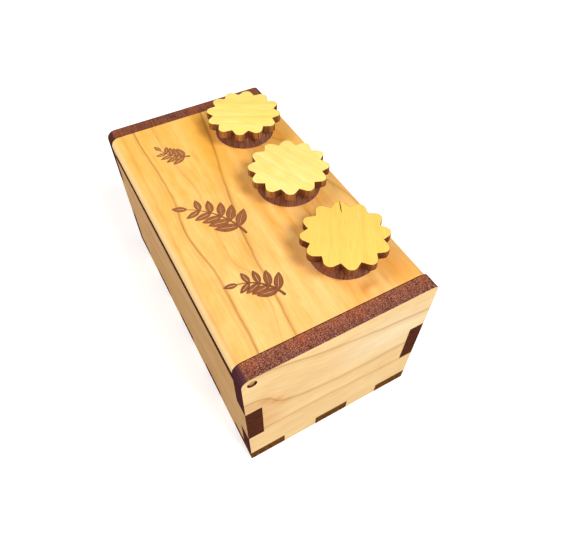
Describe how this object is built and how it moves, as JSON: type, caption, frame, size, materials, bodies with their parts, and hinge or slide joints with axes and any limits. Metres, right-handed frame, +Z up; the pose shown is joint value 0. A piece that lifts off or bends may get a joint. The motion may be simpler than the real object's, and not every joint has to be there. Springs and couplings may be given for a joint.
{
  "type": "wooden keepsake box",
  "caption": "Small finger-jointed wooden box with a pin-hinged lid and scalloped turning dials on the lid that lock it with hidden cams.",
  "frame": {"origin": "middle of the underside of the bottom board", "axes": "+X from the hinge side to the lock side, +Y along the length from the near end to the far end, +Z up"},
  "size_m": [0.0762, 0.138, 0.0807],
  "materials": {
    "box_wood": "light oiled hardwood with charred cut edges",
    "lid_wood": "warm oiled hardwood with charred cut edges",
    "dial_wood": "pale oiled hardwood with charred cut edges",
    "brass": "bare turned brass"
  },
  "bodies": {
    "box": {"near_end_board": "box_wood", "far_end_board": "box_wood", "hinge_side_board": "box_wood", "lock_side_board": "box_wood", "bottom_board": "box_wood", "catch_rail": "box_wood", "near_hinge_pin": "brass", "far_hinge_pin": "brass"},
    "lid": {"lid_board": "lid_wood"},
    "near_dial": {"near_dial_plate": "dial_wood", "near_dial_disc": "dial_wood", "near_dial_spindle": "dial_wood", "near_dial_washer": "brass", "near_cam_spacer": "dial_wood", "near_lock_cam": "dial_wood", "near_cam_screw": "brass"},
    "middle_dial": {"middle_dial_plate": "dial_wood", "middle_dial_disc": "dial_wood", "middle_dial_spindle": "dial_wood", "middle_dial_washer": "brass", "middle_cam_spacer": "dial_wood", "middle_lock_cam": "dial_wood", "middle_cam_screw": "brass"},
    "far_dial": {"far_dial_plate": "dial_wood", "far_dial_disc": "dial_wood", "far_dial_spindle": "dial_wood", "far_dial_washer": "brass", "far_cam_spacer": "dial_wood", "far_lock_cam": "dial_wood", "far_cam_screw": "brass"}
  },
  "joints": [
    {"name": "lid_hinge", "type": "hinge", "parent": "box", "child": "lid", "pos_m": [-0.03425, 0, 0.06735], "axis": [0, -1, 0], "range_deg": [0, 195]},
    {"name": "near_dial_turn", "type": "hinge", "parent": "lid", "child": "near_dial", "pos_m": [0.017, -0.0404, 0.0712], "axis": [0, 0, 1], "continuous": true},
    {"name": "middle_dial_turn", "type": "hinge", "parent": "lid", "child": "middle_dial", "pos_m": [0.017, 0, 0.0712], "axis": [0, 0, 1], "continuous": true},
    {"name": "far_dial_turn", "type": "hinge", "parent": "lid", "child": "far_dial", "pos_m": [0.017, 0.0404, 0.0712], "axis": [0, 0, 1], "continuous": true}
  ]
}
